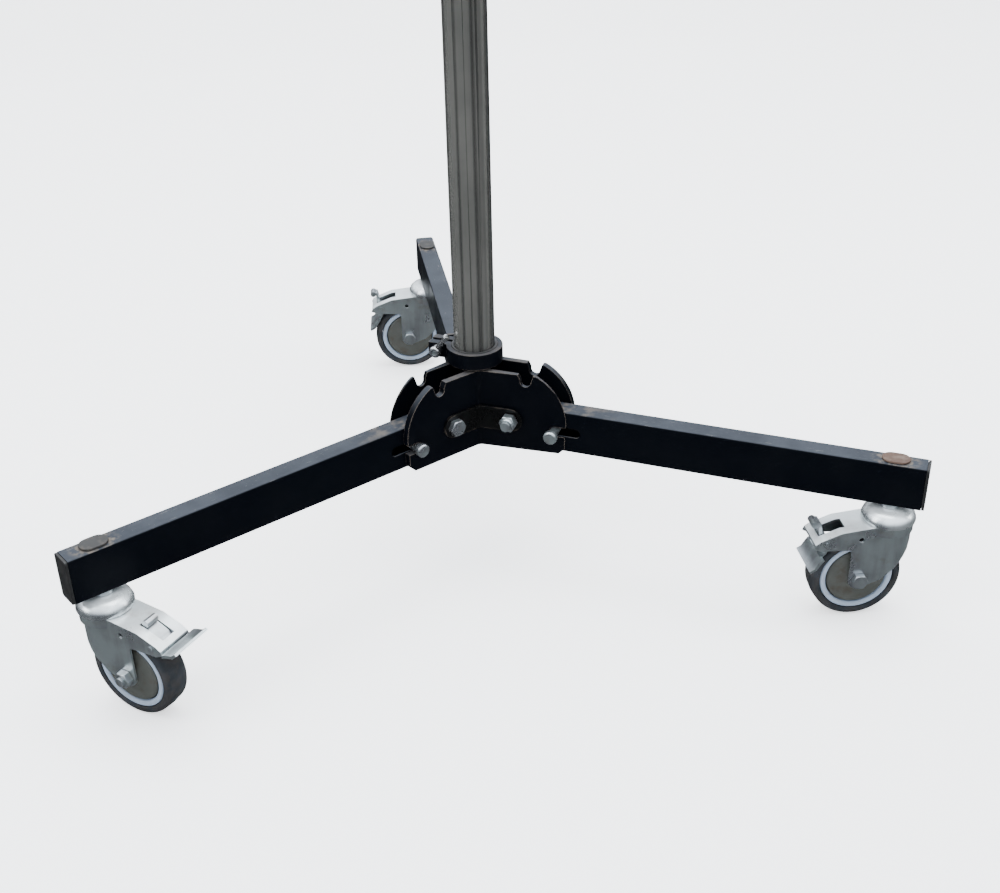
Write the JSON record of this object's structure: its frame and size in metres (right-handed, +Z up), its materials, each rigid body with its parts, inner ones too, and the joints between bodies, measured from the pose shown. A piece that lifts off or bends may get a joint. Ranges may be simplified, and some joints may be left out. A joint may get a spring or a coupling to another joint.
{
  "type": "rolling background support stand",
  "caption": "Rolling stand for studio backgrounds: folding three-legged base on braked swivel castors, clamped steel column and telescopic riser.",
  "frame": {"origin": "on the floor under the centre of the footprint's bounding box", "axes": "+Z up along the column, +Y out along the rear leg, +X to the right seen from the front"},
  "size_m": [0.8894, 0.8266, 1.04],
  "materials": {
    "black_paint": "satin black powder coat, worn at the edges",
    "black_plastic": "matt moulded",
    "zinc": "bright zinc plate on pressed steel, slightly grimy",
    "bright_chrome": "polished",
    "column_chrome": "chromed tube with handling marks",
    "tyre_rubber": "matt grey rubber, dusty tread",
    "rim_plastic": "light blue-grey moulding",
    "guard_plastic": "grey-olive thread guard",
    "rusty_plug": "rust-stained plug"
  },
  "bodies": {
    "base": {"hub_core": "black_paint", "column_collar": "black_paint", "clamp_bolt": "zinc", "column_bush": "black_plastic", "hub_plate_front": "black_paint", "strap_front": "black_paint", "hub_plate_right_rear": "black_paint", "strap_right_rear": "black_paint", "hub_plate_left_rear": "black_paint", "strap_left_rear": "black_paint", "leg_tube_rear": "black_paint", "leg_end_plug_rear": "black_plastic", "leg_top_plug_rear": "black_plastic", "pivot_bolt_rear": "zinc", "pivot_nut_rear": "zinc", "castor_stem_rear": "zinc", "swivel_cup_rear": "zinc", "leg_tube_left": "black_paint", "leg_end_plug_left": "black_plastic", "leg_top_plug_left": "black_plastic", "pivot_bolt_left": "zinc", "pivot_nut_left": "zinc", "castor_stem_left": "zinc", "swivel_cup_left": "zinc", "leg_tube_right": "black_paint", "leg_end_plug_right": "black_plastic", "leg_top_plug_right": "rusty_plug", "pivot_bolt_right": "zinc", "pivot_nut_right": "zinc", "castor_stem_right": "zinc", "swivel_cup_right": "zinc"},
    "column": {"column_tube": "column_chrome", "top_clamp": "black_plastic"},
    "riser": {"riser_tube": "column_chrome"},
    "knob": {"top_knob": "black_plastic"},
    "lever": {"clamp_lever": "bright_chrome"},
    "pin_rear": {"lock_pin_rear": "zinc"},
    "castor_rear": {"fork_rear": "zinc", "axle_bolt_rear": "zinc", "axle_nut_rear": "zinc"},
    "wheel_rear": {"tyre_rear": "tyre_rubber", "wheel_rim_rear": "rim_plastic", "wheel_hub_rear": "guard_plastic"},
    "pedal_rear": {"brake_pedal_rear": "zinc"},
    "pin_left": {"lock_pin_left": "zinc"},
    "castor_left": {"fork_left": "zinc", "axle_bolt_left": "zinc", "axle_nut_left": "zinc"},
    "wheel_left": {"tyre_left": "tyre_rubber", "wheel_rim_left": "rim_plastic", "wheel_hub_left": "guard_plastic"},
    "pedal_left": {"brake_pedal_left": "zinc"},
    "pin_right": {"lock_pin_right": "zinc"},
    "castor_right": {"fork_right": "zinc", "axle_bolt_right": "zinc", "axle_nut_right": "zinc"},
    "wheel_right": {"tyre_right": "tyre_rubber", "wheel_rim_right": "rim_plastic", "wheel_hub_right": "guard_plastic"},
    "pedal_right": {"brake_pedal_right": "zinc"}
  },
  "joints": [
    {"name": "lock_pin_slide_rear", "type": "slide", "parent": "base", "child": "pin_rear", "axis": [0, 1, 0], "range_m": [0, 0.022], "stiffness_N_per_m": 400, "springref_m": -0.01},
    {"name": "castor_swivel_rear", "type": "hinge", "parent": "base", "child": "castor_rear", "pos_m": [0, 0.37799, 0.113], "axis": [0, 0, 1], "continuous": true},
    {"name": "wheel_spin_rear", "type": "hinge", "parent": "castor_rear", "child": "wheel_rear", "pos_m": [-0.03182, 0.38134, 0.05], "axis": [-0.1045, -0.9945, 0], "continuous": true},
    {"name": "brake_pedal_rear", "type": "hinge", "parent": "castor_rear", "child": "pedal_rear", "pos_m": [-0.07061, 0.38541, 0.0983], "axis": [-0.1045, -0.9945, 0], "range_deg": [-73, 0]},
    {"name": "lock_pin_slide_left", "type": "slide", "parent": "base", "child": "pin_left", "axis": [-0.866, -0.5, 0], "range_m": [0, 0.022], "stiffness_N_per_m": 400, "springref_m": -0.01},
    {"name": "castor_swivel_left", "type": "hinge", "parent": "base", "child": "castor_left", "pos_m": [-0.4079, -0.32851, 0.113], "axis": [0, 0, 1], "continuous": true},
    {"name": "wheel_spin_left", "type": "hinge", "parent": "castor_left", "child": "wheel_left", "pos_m": [-0.38268, -0.34821, 0.05], "axis": [0.6157, 0.788, 0], "continuous": true},
    {"name": "brake_pedal_left", "type": "hinge", "parent": "castor_left", "child": "pedal_left", "pos_m": [-0.35195, -0.37222, 0.0983], "axis": [0.6157, 0.788, 0], "range_deg": [0, 73]},
    {"name": "lock_pin_slide_right", "type": "slide", "parent": "base", "child": "pin_right", "axis": [0.866, -0.5, 0], "range_m": [0, 0.022], "stiffness_N_per_m": 400, "springref_m": -0.01},
    {"name": "castor_swivel_right", "type": "hinge", "parent": "base", "child": "castor_right", "pos_m": [0.4079, -0.32851, 0.113], "axis": [0, 0, 1], "continuous": true},
    {"name": "wheel_spin_right", "type": "hinge", "parent": "castor_right", "child": "wheel_right", "pos_m": [0.37594, -0.32683, 0.05], "axis": [-0.0523, -0.9986, 0], "continuous": true},
    {"name": "brake_pedal_right", "type": "hinge", "parent": "castor_right", "child": "pedal_right", "pos_m": [0.337, -0.32479, 0.0983], "axis": [-0.0523, -0.9986, 0], "range_deg": [-73, 0]},
    {"name": "clamp_lever_turn", "type": "hinge", "parent": "base", "child": "lever", "pos_m": [-0.03551, -0.07251, 0.241], "axis": [-0.5, -0.866, 0], "range_deg": [0, 120]},
    {"name": "column_turn", "type": "hinge", "parent": "base", "child": "column", "pos_m": [0, -0.09301, 0.243], "axis": [0, 0, 1], "continuous": true},
    {"name": "riser_slide", "type": "slide", "parent": "column", "child": "riser", "axis": [0, 0, 1], "range_m": [-0.11, 0.25]},
    {"name": "top_knob_turn", "type": "hinge", "parent": "column", "child": "knob", "pos_m": [0.03, -0.09301, 0.912], "axis": [1, 0, 0], "continuous": true}
  ]
}
